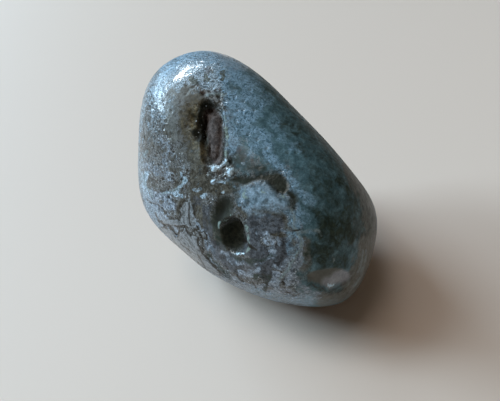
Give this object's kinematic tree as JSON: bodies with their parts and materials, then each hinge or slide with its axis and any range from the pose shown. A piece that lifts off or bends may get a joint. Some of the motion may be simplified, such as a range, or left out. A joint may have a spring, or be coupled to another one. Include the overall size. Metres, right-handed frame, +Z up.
{
  "type": "river pebble",
  "caption": "Smooth tumbled stone with rounded faces, a narrow slot, oval pits and a chipped corner, lying on a small flat under it.",
  "frame": {"origin": "on the ground, under the middle of the stone's bounding box", "axes": "+Z is up, +Y runs along the longest extent, away from the face with the hollows, and +X is to the right as seen from that face"},
  "size_m": [0.0324, 0.0372, 0.0344],
  "materials": {
    "stone": "polished, mottled dark green and olive-brown with grey flecks"
  },
  "bodies": {
    "root": {"pebble": "stone"}
  },
  "joints": []
}
